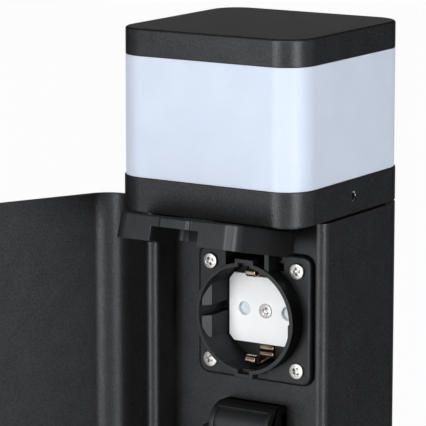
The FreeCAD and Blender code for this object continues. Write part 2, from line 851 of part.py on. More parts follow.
def strip(points):
    """Bent metal strip through points given as (outwards, front to back), bottom side."""
    half_width = clip_width / 2
    pieces = []
    for (r0, y0), (r1, y1) in zip(points, points[1:]):
        length = math.hypot(r1 - r0, y1 - y0)
        nr, ny = (y1 - y0) / length * clip_thickness / 2, -(r1 - r0) / length * clip_thickness / 2
        outline = [(-half_width, y0 + ny, -(r0 + nr)), (-half_width, y1 + ny, -(r1 + nr)),
                   (-half_width, y1 - ny, -(r1 - nr)), (-half_width, y0 - ny, -(r0 - nr))]
        pieces.append(prism(outline, (clip_width, 0, 0)))
    for radius, y in points[1:-1]:
        pieces.append(along_x(y, -radius, -half_width, half_width, clip_thickness / 2))
    return join(pieces)


def earth_clip():
    """Sprung earth contact: a yoke behind the carrier and a bent arm at top and bottom."""
    yoke_y = carrier_back + clip_thickness / 2
    hump_r, hump_y = clip_hump
    t = clip_thickness / 2
    arm = strip([(0, yoke_y), (hump_r + t, yoke_y), (hump_r + t, hump_y + clip_bend),
                 (hump_r + clip_bevel, hump_y + t), (hump_r + clip_shelf, hump_y + t),
                 (clip_outer - t, hump_y + clip_dip), (clip_outer - t, flange_front),
                 (clip_curl + clip_curl_out[0], collar_front + clip_curl_back[0]),
                 (clip_curl + clip_curl_out[1], collar_front + clip_curl_back[1]),
                 (clip_curl, collar_front + clip_curl_back[2])])
    both = join([arm, turned(arm, 0, 0, 0, (0, 1, 0), 180)])
    return both.cut(along_y(0, 0, carrier_back, carrier_back + clip_thickness, cover_screw_radius))


def contact_sleeves():
    """Two split brass sleeves that grip the plug's pins."""
    start = carrier_back
    sleeves = []
    for x in (-pin_place, pin_place):
        sleeve = along_y(x, 0, start, start + sleeve_length, sleeve_radius)
        bore = along_y(x, 0, start, start + sleeve_length - sleeve_wall, sleeve_radius - sleeve_wall)
        slit = box(x - sleeve_wall / 2, x + sleeve_wall / 2, start, start + sleeve_length / 2,
                   -sleeve_radius, sleeve_radius)
        sleeves.append(without(sleeve, [bore, slit]))
    return Part.makeCompound(sleeves)


def rear_housing():
    """Closed back of a socket, inside the column."""
    body = along_y(0, 0, carrier_back, carrier_back + rear_depth, collar_radius)
    slot = clip_width / 2 + clip_gap
    reach = clip_hump[0] + clip_thickness + clip_gap
    cuts = [box(-slot, slot, carrier_back, carrier_back + clip_thickness, -reach, reach)]
    cuts.append(along_y(0, 0, carrier_back, carrier_back + rear_depth - rear_wall, cover_screw_radius))
    for x in (-pin_place, pin_place):
        cuts.append(along_y(x, 0, carrier_back, carrier_back + sleeve_length, sleeve_radius))
    return without(body, cuts)


def cover_screw():
    """Cross-head screw through the middle of the white plate."""
    length = carrier_back + rear_depth - 2 * rear_wall - well_floor
    return round_head_screw(0, 0, well_floor, cover_screw_rise, cover_screw_head,
                            cover_screw_radius, length)


def hood_sector(radius, start, end, x0, x1):
    """Slice of a cylinder around the lid's axis, with angles up from straight forward."""
    points = [(x0, lid_axis_y, lid_axis_rise)]
    steps = 8
    reach = hood_wedge_reach * radius
    for step in range(steps + 1):
        angle = math.radians(start + (end - start) * step / steps)
        points.append((x0, lid_axis_y - reach * math.cos(angle), lid_axis_rise + reach * math.sin(angle)))
    wedge = prism(points, (x1 - x0, 0, 0))
    return wedge.common(along_x(lid_axis_y, lid_axis_rise, x0, x1, radius))


def socket_lid():
    """Sprung lid, drawn closed: face, skirt, thumb tab, and the hood round its pin."""
    skirt_back = flange_front - lid_skirt_gap
    width, wall = lid_half_width, lid_wall
    outer = round_plate(width, lid_bottom, lid_top, lid_outer_y, skirt_back, lid_corner)
    face_edges = [e for e in outer.Edges if abs(e.BoundBox.YMin - lid_outer_y) < 1e-6
                  and abs(e.BoundBox.YMax - lid_outer_y) < 1e-6]
    outer = outer.makeFillet(lid_soft_edge, face_edges)
    inner = round_plate(width - wall, lid_bottom + wall, lid_top - wall, lid_inner_y, skirt_back,
                        lid_corner - wall)
    hinge_room = box(-slot_half_width, slot_half_width, lid_inner_y, skirt_back, 0, lid_top)
    screw_room = box(-width, width, flange_front - flange_screw_rise - lid_skirt_gap, skirt_back,
                     lid_top - wall - lid_corner, lid_top)
    notch_back = skirt_back - lid_notch_depth
    notch = box(-lid_notch_half, lid_notch_half, notch_back, skirt_back, lid_bottom, lid_bottom + wall)
    notch_edges = [e for e in notch.Edges if abs(e.BoundBox.ZLength - wall) < 1e-6
                   and abs(e.BoundBox.YMin - notch_back) < 1e-6]
    notch = notch.makeFillet(lid_notch_corner, notch_edges)
    shell = without(outer, [inner, hinge_room, screw_room, notch])
    tab = box(-tab_half, tab_half, lid_outer_y + lid_soft_edge, notch_back, lid_bottom - tab_reach,
              lid_bottom + wall)
    tab_edges = [e for e in tab.Edges if e.BoundBox.ZMax < lid_bottom]
    tab_edges = [e for e in tab_edges if e.BoundBox.XLength < 1e-6 and e.BoundBox.YLength > 1]
    tab = tab.makeFillet(tab_corner, tab_edges)
    neck = box(-hood_half_width, hood_half_width, lid_outer_y, lid_inner_y, lid_top - lid_corner,
               lid_axis_rise + hood_radius * math.sin(math.radians(hood_start)) + hood_wall)
    hood = hood_sector(hood_radius, hood_start, hood_end, -hood_half_width, hood_half_width)
    hood = hood.cut(along_x(lid_axis_y, lid_axis_rise, -hood_half_width, hood_half_width,
                            hood_radius - hood_wall))
    panel_half = hood_half_width - hood_border
    roof = box(-hood_half_width, hood_half_width, lid_axis_y, lid_axis_y + hood_roof_back,
               lid_axis_rise + hood_radius - hood_wall, lid_axis_rise + hood_radius)
    panel = hood_sector(2 * hood_radius, hood_panel_start, hood_panel_end, -panel_half, panel_half)
    panel = panel.cut(along_x(lid_axis_y, lid_axis_rise, -panel_half, panel_half,
                              hood_radius - hood_panel_depth))
    lid = join([shell, tab, neck, hood, roof]).cut(panel)
    lid = join([lid, hood_arm_plate(), mirrored_x(hood_arm_plate())])
    bore = along_x(lid_axis_y, lid_axis_rise, -slot_half_width, slot_half_width,
                   lid_pin_radius + lid_pin_fit)
    return lid.cut(bore)


def hood_arm_plate():
    """Side of the hood: round in front, flat behind, and run into the lid's face."""
    x0 = hood_half_width - hood_arm
    disc = along_x(lid_axis_y, lid_axis_rise, x0, hood_half_width, hood_radius)
    disc = disc.cut(box(x0, hood_half_width, flange_front - lid_skirt_gap, lid_axis_y + hood_radius,
                        lid_axis_rise - hood_radius, lid_axis_rise + hood_radius))
    heel = box(x0, hood_half_width, lid_axis_y, lid_axis_y + hood_back,
               lid_axis_rise + hood_back_rise, lid_axis_rise + hood_radius)
    heel = heel.common(along_x(lid_axis_y, lid_axis_rise, x0, hood_half_width, hood_back_radius))
    web = box(x0, hood_half_width, lid_outer_y, lid_axis_y, lid_top - lid_corner, lid_axis_rise)
    web = web.cut(box(x0, hood_half_width, lid_inner_y, lid_axis_y, 0,
                      lid_axis_rise - hood_radius))
    return join([disc, heel, web])


def lid_pin():
    """Steel pin through the ears and the hood's sides."""
    reach = hood_half_width - lid_pin_inset
    return along_x(lid_axis_y, lid_axis_rise, -reach, reach, lid_pin_radius)


socket_pieces = {
    "bezel": socket_bezel,
    "gasket": flange_gasket,
    "flange_screws": flange_screws,
    "insert_plate": insert_plate,
    "insert_screw": cover_screw,
    "shutter": shutter,
    "contact_carrier": contact_carrier,
    "contact_sleeves": contact_sleeves,
    "earth_clip": earth_clip,
    "rear_housing": rear_housing,
    "lid": socket_lid,
    "lid_pin": lid_pin,
}

body_pieces = {
    "base_plate": base_plate,
    "base_screws": base_screws,
    "cable_grommet": cable_grommet,
    "column_profile": column_profile,
    "hinge_rod": hinge_rod,
    "front_cover": front_cover,
    "catch_holder": catch_holder,
    "catch_magnet": catch_magnet,
    "catch_strike": catch_strike,
    "head_mount": head_mount,
    "head_mount_screws": head_mount_screws,
    "lamp_base_ring": lamp_base_ring,
    "ring_grub_screws": ring_grub_screws,
    "diffuser": diffuser,
    "lamp_cap": lamp_cap,
    "head_tie_screws": head_tie_screws,
    "led_carrier": led_carrier,
    "led_boards": led_boards,
    "led_chips": led_chips,
    "led_driver": led_driver,
    "terminal_block": terminal_block,
    "terminal_screws": terminal_screws,
    "earth_stud": earth_stud,
}


def placed(piece, height, lid_angle):
    """One socket piece at its height, with its lid at an angle."""
    shape = socket_pieces[piece]()
    if piece == "lid":
        shape = turned(shape, 0, lid_axis_y, lid_axis_rise, (1, 0, 0), -lid_angle)
    shape.translate(Vector(0, 0, height))
    return shape


os.makedirs("parts", exist_ok=True)
for name, make in body_pieces.items():
    make().exportStep("parts/" + name + ".step")
seals = {"diffuser_gasket": seal_frame(ring_top - seal_depth, ring_top),
         "cap_gasket": seal_frame(diffuser_top, diffuser_top + seal_depth)}
for name, shape in seals.items():
    shape.exportStep("parts/" + name + ".step")
for level, height, lid_angle in (("upper", upper_socket_z, lid_open_angle), ("lower", lower_socket_z, 0)):
    for piece in socket_pieces:
        placed(piece, height, lid_angle).exportStep("parts/" + level + "_" + piece + ".step")
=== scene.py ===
import json
import math
from contextlib import contextmanager

import bmesh
import bpy
from mathutils import Matrix, Vector


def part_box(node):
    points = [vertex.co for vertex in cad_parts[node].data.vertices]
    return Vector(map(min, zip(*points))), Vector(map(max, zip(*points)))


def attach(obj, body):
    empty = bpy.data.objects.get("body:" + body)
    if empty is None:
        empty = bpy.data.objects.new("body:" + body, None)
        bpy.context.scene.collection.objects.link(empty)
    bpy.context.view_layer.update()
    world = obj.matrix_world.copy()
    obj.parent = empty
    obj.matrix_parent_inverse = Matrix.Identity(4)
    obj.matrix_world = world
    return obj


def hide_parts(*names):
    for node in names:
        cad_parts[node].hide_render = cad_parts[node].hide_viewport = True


# Square bollard light with two sockets behind a hinged cover: its looks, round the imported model.
# Metres, in the model's own frame: +Z up, and the front faces -Y.

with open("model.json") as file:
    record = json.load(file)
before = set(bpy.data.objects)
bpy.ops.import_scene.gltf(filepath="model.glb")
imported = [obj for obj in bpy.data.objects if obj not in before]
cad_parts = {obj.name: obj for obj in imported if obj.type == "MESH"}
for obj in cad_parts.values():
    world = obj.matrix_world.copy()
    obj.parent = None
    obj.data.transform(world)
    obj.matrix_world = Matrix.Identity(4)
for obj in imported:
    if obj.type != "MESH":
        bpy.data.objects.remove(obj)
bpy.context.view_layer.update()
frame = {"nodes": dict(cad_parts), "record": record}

# SPARE is how far a cut reaches past a face, and NEAR and SAME are how close two places may lie.
MM = 0.001
SPARE = 1 * MM
NEAR = 0.01 * MM
SAME = 0.002 * MM
levels = ("upper", "lower")


def middle_height(node):
    """Height of the middle of a node."""
    low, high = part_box(node)
    return (low.z + high.z) / 2


socket_height = {level: middle_height(level + "_insert_screw") for level in levels}

# Sheet and casting sizes of the body and the lamp head
body_half = 40 * MM
body_corner = 12 * MM
head_corner = 11.5 * MM
side_wall = 3.6 * MM
back_wall = 3 * MM
ring_wall = 3 * MM
ring_deck = 3 * MM
opal_wall = 2.5 * MM
cap_wall = 5 * MM
cap_roof = 4 * MM
cap_edge = 0.9 * MM
cast_edge = 0.35 * MM
cut_edge = 0.2 * MM
wall_edge_angle = 50
post_hole = 13 * MM

# Set screws of the collar
grub_radius = 2 * MM
grub_length = 6 * MM
grub_play = 0.03 * MM
grub_edge = 0.22 * MM
hex_radius = 1.4 * MM
hex_length = 8 * MM
# Reach of the hex socket faces that are painted near-black as shade
shaded_socket_reach = 1.36 * MM

# The column's web, front lips and hinge
web_front = -2.3 * MM
web_back = 0.5 * MM
lip_front = -21 * MM
lip_radius = 3.2 * MM
hinge_x = -39.7 * MM
hinge_y = -13.4 * MM
bead_radius = 3.3 * MM
rod_radius = 1.55 * MM
cover_gap = 0.4 * MM
knuckle_gap = 0.3 * MM
knuckle_length = 12 * MM
knuckle_inset = 3 * MM
cover_wall = 2 * MM
cover_return = 18.4 * MM
return_corner = 4 * MM
return_notch_reach = 26.6 * MM
return_notch_above = 22 * MM
return_notch_below = 28 * MM
cover_angle = -116.4

# Sockets, from the middle of the flange
flange_half = 25 * MM
flange_corner = 4.5 * MM
flange_front = -4.8 * MM
flange_back = -2.8 * MM
flange_edge = 1.4 * MM
collar_radius = 21.35 * MM
well_radius = 19.85 * MM
rib_root = (collar_radius + well_radius) / 2
collar_front = -12.4 * MM
collar_back = 9.9 * MM
collar_depth = collar_back - collar_front
collar_middle = (collar_back + collar_front) / 2
key_half = 4 * MM
key_reach = 22.75 * MM
key_depth = 4 * MM
key_way_half = 2.5 * MM
key_way_reach = 21.25 * MM
rim_edge = 0.25 * MM
moulded_edge = 0.28 * MM
rib_inner = 16.7 * MM
rib_front = -11 * MM
rib_shoulder = -8 * MM
rib_slant = (3, 0.8)
rib_spans = ((2.7 * MM, 12.3 * MM), (-9.7 * MM, -1.4 * MM))
ear_inner = 8.5 * MM
ear_outer = 10.3 * MM
ear_radius = 3 * MM
ear_low = 12.3 * MM
ear_shoulder = 21.3 * MM
ear_slant = (6.8, 2.6)
web_hole = 22 * MM
web_room = 10 * MM
slot_half = 13 * MM
slot_low = 18.3 * MM
slot_high = 36.2 * MM
pin_bore_radius = 1.05 * MM
pin_bore_length = 40 * MM

# White plate, screws and earth clip of a socket
plate_front = 3.7 * MM
plate_back = 5.2 * MM
plate_half = 16.2 * MM
plate_top = 13.6 * MM
plate_bottom = -12.9 * MM
plate_chamfer = 2.2 * MM
plate_radius = 19.5 * MM
plate_room = 10 * MM
plate_edge = 0.15 * MM
plate_notch_half = 3.4 * MM
plate_notch_depth = 0.75 * MM
pin_place = 9.5 * MM
pin_hole_radius = 2.65 * MM
screw_place = 19 * MM
face_screw = {"radius": 3.1 * MM, "shank": 1.5 * MM, "length": 4 * MM}
plate_screw = {"radius": 2.75 * MM, "shank": 1.45 * MM, "length": 6 * MM}
shank_overlap = 0.2 * MM
screw_edge = 0.06 * MM
clip_half = 3 * MM
clip_sheet = 0.8 * MM
clip_edge = 0.18 * MM
clip_bend = 1.6 * MM
yoke_inner = 1.2 * MM
hump_root = 13.6 * MM
hump_foot = 18.7 * MM
hump_back = 6.4 * MM
hump_radius = 1.88 * MM
hump_swell = 43
neck_place = 19.3 * MM
neck_back = 6.0 * MM
neck_front = -3.6 * MM
curl_place = 16.8 * MM
curl_middle = -6.0 * MM
curl_radius = 1.4 * MM

# Lids, from the middle of the flange, drawn shut, with angles up from straight forward
axis_y = -8.4 * MM
axis_z = 28.1 * MM
lid_half = 25.6 * MM
lid_low = -24.5 * MM
lid_high = 20.3 * MM
lid_front = -14.7 * MM
lid_inner = -12.8 * MM
lid_back = -5.1 * MM
lid_wall = 1.4 * MM
lid_corner = 5 * MM
lid_face_edge = 0.8 * MM
lid_flare = 1.02
lid_edge = 0.2 * MM
lid_screw_room = -6.3 * MM
lid_screw_low = 13.9 * MM
lid_neck_low = 15.3 * MM
hood_radius = 8.3 * MM
hood_wall = 1.4 * MM
hood_half = 12.7 * MM
hood_arm = 1.9 * MM
hood_border = 2 * MM
hood_panel = 1.05 * MM
panel_start = -22
panel_end = 60
hood_foot_angle = -38
hood_roof = 3.6 * MM
roof_lap = 0.3 * MM
neck_top = axis_z + hood_radius * math.sin(math.radians(hood_foot_angle)) + hood_wall
hood_room = hood_half - hood_arm
heel_back = 5.8 * MM
heel_rise = 5 * MM
heel_radius = 9.8 * MM
thumb_half = 10 * MM
thumb_high = 5.5 * MM
tab_half = 6.6 * MM
tab_reach = 1.5 * MM
tab_corner = 1.4 * MM

# The photograph's camera, in degrees, metres and millimetres of film
camera_azimuth = 32.38
camera_elevation = 10.73
camera_place = (0.5528, -0.9053, 0.5793)
camera_lens = 243.6
camera_film = 36
lit_place = (0, 0, 0.34)


# Materials

def shader(name):
    """A new material with its node tree, ready for wiring."""
    material = bpy.data.materials.new(name)
    material.use_nodes = True
    tree = material.node_tree
    tree.nodes.clear()
    output = tree.nodes.new("ShaderNodeOutputMaterial")
    body = tree.nodes.new("ShaderNodeBsdfPrincipled")
    tree.links.new(body.outputs["BSDF"], output.inputs["Surface"])
    place = tree.nodes.new("ShaderNodeTexCoord")
    return material, tree, body, place.outputs["Object"]


def noise(tree, place, grain, detail=2.0, roughness=0.5):
    """Noise whose lumps are about one grain across, in metres."""
    node = tree.nodes.new("ShaderNodeTexNoise")
    node.inputs["Scale"].default_value = 1 / grain
    node.inputs["Detail"].default_value = detail
    node.inputs["Roughness"].default_value = roughness
    tree.links.new(place, node.inputs["Vector"])
    return node.outputs["Fac"]


def cells(tree, place, grain, feature="F1"):
    """Rounded cells about one grain across, in metres."""
    node = tree.nodes.new("ShaderNodeTexVoronoi")
    node.feature = feature
    node.inputs["Scale"].default_value = 1 / grain
    tree.links.new(place, node.inputs["Vector"])
    return node.outputs["Distance"]


def stretched(tree, place, scale):
    """Object coordinates, stretched along the axes."""
    node = tree.nodes.new("ShaderNodeMapping")
    node.inputs["Scale"].default_value = scale
    tree.links.new(place, node.inputs["Vector"])
    return node.outputs["Vector"]


def spread(tree, value, low, high, start=0.3, end=0.7):
    """A value mapped onto a range."""
    node = tree.nodes.new("ShaderNodeMapRange")
    node.inputs["From Min"].default_value = start
    node.inputs["From Max"].default_value = end
    node.inputs["To Min"].default_value = low
    node.inputs["To Max"].default_value = high
    tree.links.new(value, node.inputs["Value"])
    return node.outputs["Result"]


def tint(tree, value, dark, light, start=0.3, end=0.7):
    """A colour between two, chosen by a value."""
    node = tree.nodes.new("ShaderNodeValToRGB")
    node.color_ramp.elements[0].position = start
    node.color_ramp.elements[0].color = (*dark, 1)
    node.color_ramp.elements[1].position = end
    node.color_ramp.elements[1].color = (*light, 1)
    tree.links.new(value, node.inputs["Fac"])
    return node.outputs["Color"]


def total(tree, first, second, share):
    """The first value plus a share of the second."""
    node = tree.nodes.new("ShaderNodeMath")
    node.operation = "MULTIPLY_ADD"
    node.inputs[1].default_value = share
    tree.links.new(second, node.inputs[0])
    tree.links.new(first, node.inputs[2])
    return node.outputs["Value"]


def relief(tree, body, height, depth, strength):
    """Bump on the shader, of a depth in metres."""
    node = tree.nodes.new("ShaderNodeBump")
    node.inputs["Strength"].default_value = strength
    node.inputs["Distance"].default_value = depth
    tree.links.new(height, node.inputs["Height"])
    tree.links.new(node.outputs["Normal"], body.inputs["Normal"])


def powder_coat(name, dark, light, roughness):
    """Fine textured powder coat with mica in it: small raised grains over a slow wave."""
    material, tree, body, place = shader(name)
    grains = cells(tree, place, 0.5 * MM)
    fine = noise(tree, place, 0.28 * MM, 3)
    wave = noise(tree, place, 9 * MM)
    shade = total(tree, total(tree, fine, grains, 0.4), wave, 0.2)
    tree.links.new(tint(tree, shade, dark, light, 0.6, 1.1), body.inputs["Base Color"])
    tree.links.new(spread(tree, fine, roughness - 0.05, roughness + 0.07), body.inputs["Roughness"])
    body.inputs["Metallic"].default_value = 0.8
    body.inputs["Specular IOR Level"].default_value = 0.05
    body.inputs["Specular Tint"].default_value = (0.2, 0.2, 0.2, 1)
    relief(tree, body, total(tree, fine, grains, 0.9), 0.06 * MM, 0.7)
    return material


def moulded_plastic(name, dark, light, roughness, grain=0.35, depth=0.03):
    """Moulded plastic with a fine spark-eroded grain and a faint flow mottle."""
    material, tree, body, place = shader(name)
    fine = noise(tree, place, grain * MM, 3)
    mottle = noise(tree, place, 6 * MM)
    shade = total(tree, fine, mottle, 0.6)
    gloss = total(tree, fine, mottle, 0.5)
    tree.links.new(tint(tree, shade, dark, light, 0.55, 1.05), body.inputs["Base Color"])
    gloss = spread(tree, gloss, roughness - 0.05, roughness + 0.06, 0.5, 1.0)
    tree.links.new(gloss, body.inputs["Roughness"])
    relief(tree, body, fine, depth * MM, 0.5)
    return material


def black_plastic():
    """Satin black moulding whose gloss stays low at a slant."""
    dark = (0.0315, 0.0324, 0.0338)
    light = (0.0395, 0.0406, 0.0423)
    material = moulded_plastic("black_plastic", dark, light, 0.36)
    body = material.node_tree.nodes["Principled BSDF"]
    body.inputs["Metallic"].default_value = 0.8
    body.inputs["Specular IOR Level"].default_value = 0.1
    body.inputs["Specular Tint"].default_value = (0.2, 0.2, 0.2, 1)
    return material


def opal_plastic():
    """Milky tube: white through and through, with a cool cast, a satin skin and a faint painted glow."""
    material, tree, body, place = shader("opal_plastic")
    haze = noise(tree, place, 14 * MM)
    fine = noise(tree, place, 0.6 * MM, 2)
    tree.links.new(tint(tree, haze, (0.405, 0.450, 0.532), (0.425, 0.472, 0.555)), body.inputs["Base Color"])
    tree.links.new(spread(tree, total(tree, fine, haze, 0.6), 0.30, 0.38, 0.5, 1.1), body.inputs["Roughness"])
    body.inputs["Specular IOR Level"].default_value = 0.2
    body.inputs["Subsurface Weight"].default_value = 0.35
    body.inputs["Subsurface Radius"].default_value = (0.9, 1.0, 1.2)
    body.inputs["Subsurface Scale"].default_value = 3 * MM
    # Painted glow: a weak cool emission that lifts the tube's brightness.
    body.inputs["Emission Color"].default_value = (0.80, 0.87, 1.0, 1)
    body.inputs["Emission Strength"].default_value = 0.06
    relief(tree, body, fine, 0.01 * MM, 0.3)
    return material


def worked_metal(name, dark, light, roughness, grain=0.2, stretch=(1, 1, 1)):
    """Bare metal with fine working marks and slightly uneven gloss."""
    material, tree, body, place = shader(name)
    marks = noise(tree, stretched(tree, place, stretch), grain * MM, 4, 0.6)
    stain = noise(tree, place, 2.5 * MM, 3)
    shade = total(tree, marks, stain, 0.8)
    gloss = total(tree, marks, stain, 0.5)
    tree.links.new(tint(tree, shade, dark, light, 0.6, 1.2), body.inputs["Base Color"])
    gloss = spread(tree, gloss, roughness - 0.07, roughness + 0.09, 0.5, 1.0)
    tree.links.new(gloss, body.inputs["Roughness"])
    body.inputs["Metallic"].default_value = 1.0
    relief(tree, body, marks, 0.012 * MM, 0.45)
    return material


def zinc_coat():
    """Hot-dip zinc with its spangle."""
    material, tree, body, place = shader("zinc_coat")
    spangle = cells(tree, place, 5 * MM)
    fine = noise(tree, place, 0.4 * MM, 3)
    shade = tint(tree, total(tree, spangle, fine, 0.4), (0.33, 0.34, 0.35), (0.55, 0.56, 0.58), 0.3, 1.0)
    tree.links.new(shade, body.inputs["Base Color"])
    tree.links.new(spread(tree, spangle, 0.38, 0.55, 0.1, 0.9), body.inputs["Roughness"])
    body.inputs["Metallic"].default_value = 1.0
    relief(tree, body, total(tree, fine, spangle, 0.5), 0.03 * MM, 0.4)
    return material


def soft_rubber():
    """Dull black rubber with a dusty grain."""
    material, tree, body, place = shader("soft_rubber")
    fine = noise(tree, place, 0.3 * MM, 4)
    tree.links.new(tint(tree, fine, (0.006, 0.006, 0.006), (0.012, 0.012, 0.012)), body.inputs["Base Color"])
    tree.links.new(spread(tree, fine, 0.72, 0.9), body.inputs["Roughness"])
    body.inputs["Specular IOR Level"].default_value = 0.15
    relief(tree, body, fine, 0.03 * MM, 0.6)
    return material


finishes = {
    "powder_coat": powder_coat("powder_coat", (0.0229, 0.0235, 0.0246), (0.0478, 0.0490, 0.0512), 0.31),
    "black_plastic": black_plastic(),
    "white_plastic": moulded_plastic("white_plastic", (0.79, 0.80, 0.81), (0.83, 0.84, 0.85), 0.34,
                                     0.25, 0.01),
    "pale_plastic": moulded_plastic("pale_plastic", (0.56, 0.62, 0.66), (0.62, 0.68, 0.72), 0.38, 0.25, 0.01),
    "grey_plastic": moulded_plastic("grey_plastic", (0.15, 0.155, 0.16), (0.20, 0.205, 0.21), 0.5),
    "board_white": moulded_plastic("board_white", (0.74, 0.74, 0.72), (0.82, 0.82, 0.80), 0.45, 0.5, 0.01),
    "chip_yellow": moulded_plastic("chip_yellow", (0.72, 0.55, 0.12), (0.80, 0.64, 0.18), 0.3, 0.6, 0.01),
    "opal_plastic": opal_plastic(),
    "steel": worked_metal("steel", (0.26, 0.26, 0.25), (0.60, 0.59, 0.58), 0.36),
    "bronze": worked_metal("bronze", (0.25, 0.18, 0.13), (0.52, 0.41, 0.32), 0.14, 0.25, (0.3, 1, 1)),
    "brass": worked_metal("brass", (0.62, 0.46, 0.18), (0.78, 0.62, 0.30), 0.28),
    "nickel": worked_metal("nickel", (0.60, 0.59, 0.56), (0.72, 0.71, 0.68), 0.2),
    "bare_aluminium": worked_metal("bare_aluminium", (0.62, 0.63, 0.65), (0.76, 0.77, 0.79), 0.34, 0.3,
                                   (1, 1, 0.15)),
    "zinc_steel": zinc_coat(),
    "rubber_black": soft_rubber(),
}
slot_finish = {"coated_metal": "powder_coat"}
# The head mount takes the black powder coat instead of its slot's finish: painted shade for the dark gap
# under the lamp collar.
shade_darkened_nodes = ("head_mount",)
node_slot = {row["node"]: row["material_slot"] for row in frame["record"]["subparts"]}


def finish_of(slot):
    """The material that stands for a slot of the record."""
    return finishes[slot_finish.get(slot, slot)]


def dress_cad_nodes():
    """Gives every node of the model the finish of its material slot, except the head mount, which takes the
    black powder coat as painted shade.
    """
    for name, slot in node_slot.items():
        finish = finishes["powder_coat"] if name in shade_darkened_nodes else finish_of(slot)
        materials = frame["nodes"][name].data.materials
        for index in range(len(materials)):
            materials[index] = finish


# Modelling by hand

def fresh(name):
    """Names the newest primitive and puts its place into its mesh."""
    piece = bpy.context.active_object
    piece.name = name
    bpy.ops.object.transform_apply(location=True, rotation=True, scale=True)
    return piece


def block(name, low, high):
    """A block between two corners."""
    bpy.ops.object.select_all(action="DESELECT")
    middle = [(a + b) / 2 for a, b in zip(low, high)]
    size = [b - a for a, b in zip(low, high)]
    bpy.ops.mesh.primitive_cube_add(size=1, location=middle, scale=size)
    return fresh(name)


def drum(name, middle, axis, radius, length, sides=72):
    """A cylinder along the x, y or z axis."""
    bpy.ops.object.select_all(action="DESELECT")
    tilt = {"x": (0, math.pi / 2, 0), "y": (math.pi / 2, 0, 0), "z": (0, 0, 0)}[axis]
    bpy.ops.mesh.primitive_cylinder_add(vertices=sides, radius=radius, depth=length, location=middle,
                                        rotation=tilt)
    return fresh(name)


@contextmanager
def editing(piece, kind="EDGE"):
    """Edit mode on one piece, with nothing selected."""
    bpy.ops.object.select_all(action="DESELECT")
    piece.select_set(True)
    bpy.context.view_layer.objects.active = piece
    bpy.ops.object.mode_set(mode="EDIT")
    bpy.ops.mesh.select_mode(type=kind)
    bpy.ops.mesh.select_all(action="DESELECT")
    yield
    bpy.ops.object.mode_set(mode="OBJECT")


def pick(piece, kind, test):
    """Selects the edges or faces that pass a test, and nothing else."""
    bpy.ops.mesh.select_mode(type={"edges": "EDGE", "faces": "FACE"}[kind])
    bpy.ops.mesh.select_all(action="DESELECT")
    mesh = bmesh.from_edit_mesh(piece.data)
    for item in getattr(mesh, kind):
        if test(item):
            item.select_set(True)
    mesh.select_flush_mode()
    bmesh.update_edit_mesh(piece.data)


def runs_along(axis):
    """Test for edges along the x (0), y (1) or z (2) axis."""
    def test(edge):
        way = edge.verts[1].co - edge.verts[0].co
        return abs(way[axis]) > 0.999 * way.length
    return test


def lies_at(axis, place):
    """Test for edges or faces that lie at one place on an axis."""
    def test(item):
        return all(abs(v.co[axis] - place) < SAME for v in item.verts)
    return test


def stands_where(inside):
    """Test for upright edges with both ends inside a stretch of the plan."""
    def test(edge):
        return runs_along(2)(edge) and all(inside(v.co) for v in edge.verts)
    return test


def round_edges(piece, test, radius, steps):
    """Rounds the edges that pass a test."""
    with editing(piece):
        pick(piece, "edges", test)
        bpy.ops.mesh.bevel(offset=radius, offset_type="OFFSET", segments=steps, affect="EDGES")


def rounded_block(name, low, high, corner, axis=2, steps=12):
    """A block whose edges along one axis are round."""
    piece = block(name, low, high)
    round_edges(piece, runs_along(axis), corner, steps)
    return piece


def applied(piece, modifier):
    """Applies a modifier of a piece."""
    bpy.ops.object.select_all(action="DESELECT")
    piece.select_set(True)
    bpy.context.view_layer.objects.active = piece
    bpy.ops.object.modifier_apply(modifier=modifier.name)


def combine(piece, how, tools):
    """Cuts, joins or trims a piece with tools, which are then gone."""
    for tool in tools:
        modifier = piece.modifiers.new("combine", "BOOLEAN")
        modifier.operation = how
        modifier.solver = "EXACT"
        modifier.object = tool
        applied(piece, modifier)
        bpy.data.objects.remove(tool)
    return piece


def cut(piece, *tools):
    """The piece without the tools."""
    return combine(piece, "DIFFERENCE", tools)


def joined(piece, *tools):
    """The piece and the tools as one."""
    return combine(piece, "UNION", tools)


def trimmed(piece, *tools):
    """What the piece shares with each tool."""
    return combine(piece, "INTERSECT", tools)


def sliced(piece, place, direction):
    """Cuts a piece off flat past a plane, on the side that the direction points to."""
    with editing(piece, "VERT"):
        bpy.ops.mesh.select_all(action="SELECT")
        bpy.ops.mesh.bisect(plane_co=place, plane_no=direction, use_fill=True, clear_outer=True)
    return piece


def soften(piece, width, steps=2, angle=38, clamp=True):
    """Breaks every sharp edge of a piece."""
    modifier = piece.modifiers.new("soft_edges", "BEVEL")
    modifier.width = width
    modifier.segments = steps
    modifier.limit_method = "ANGLE"
    modifier.angle_limit = math.radians(angle)
    modifier.use_clamp_overlap = clamp
    applied(piece, modifier)


def swung(piece, pivot, axis, degrees):
    """Turns a piece about an axis through a point, in its mesh."""
    place = Matrix.Translation(pivot)
    piece.matrix_world = place @ Matrix.Rotation(math.radians(degrees), 4, axis) @ place.inverted()
    bpy.ops.object.select_all(action="DESELECT")
    piece.select_set(True)
    bpy.context.view_layer.objects.active = piece
    bpy.ops.object.transform_apply(location=True, rotation=True, scale=True)
    return piece


def shifted(piece, way):
    """Moves a piece, in its mesh."""
    piece.location = way
    bpy.ops.object.select_all(action="DESELECT")
    piece.select_set(True)
    bpy.context.view_layer.objects.active = piece
    bpy.ops.object.transform_apply(location=True, rotation=True, scale=True)
    return piece


def copied(piece, name):
    """A copy of a piece with its own mesh."""
    copy = piece.copy()
    copy.data = piece.data.copy()
    copy.name = name
    bpy.context.scene.collection.objects.link(copy)
    return copy


def grouped(name, pieces):
    """Several loose shapes as one object."""
    bpy.ops.object.select_all(action="DESELECT")
    for piece in pieces:
        piece.select_set(True)
    bpy.context.view_layer.objects.active = pieces[0]
    bpy.ops.object.join()
    pieces[0].name = name
    return pieces[0]


